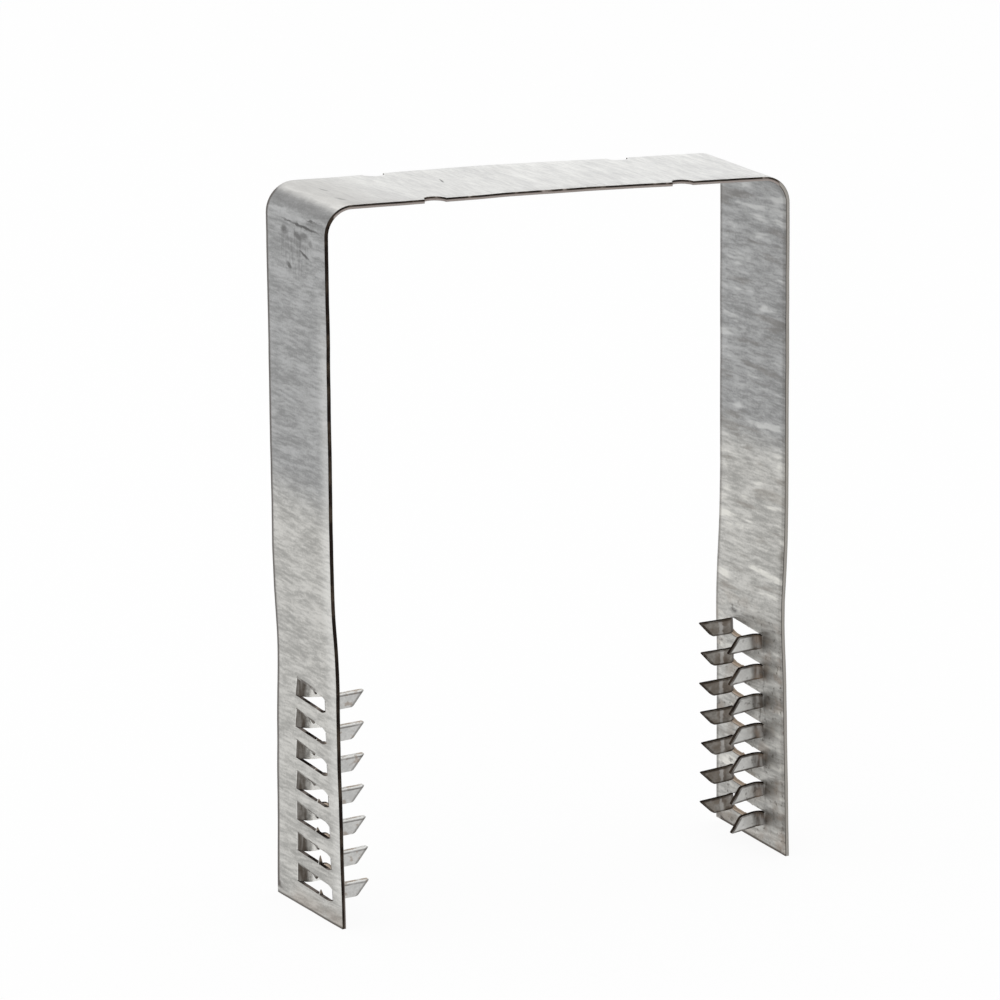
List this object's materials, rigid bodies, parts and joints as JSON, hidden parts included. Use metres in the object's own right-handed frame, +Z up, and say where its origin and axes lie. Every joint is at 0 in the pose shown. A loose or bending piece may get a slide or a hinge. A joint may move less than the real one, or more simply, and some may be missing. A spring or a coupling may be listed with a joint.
{
  "type": "stud tie",
  "caption": "U-shaped galvanised steel strap that goes over a timber wall plate, with rows of lanced teeth on the legs that are hammered into the stud to tie the two together.",
  "frame": {"origin": "midway between the ends of the two legs, on the surface that they stand on, in the middle of the strap's width", "axes": "+Z up the legs to the bridge, X across the gap from one leg to the other, Y across the strap's width with the pictured edge at -Y"},
  "size_m": [0.0926, 0.025, 0.1324],
  "materials": {
    "galvanised_sheet": "galvanised, mottled grey with streaks across the strap"
  },
  "bodies": {
    "root": {"stud_tie": "galvanised_sheet"}
  },
  "joints": []
}
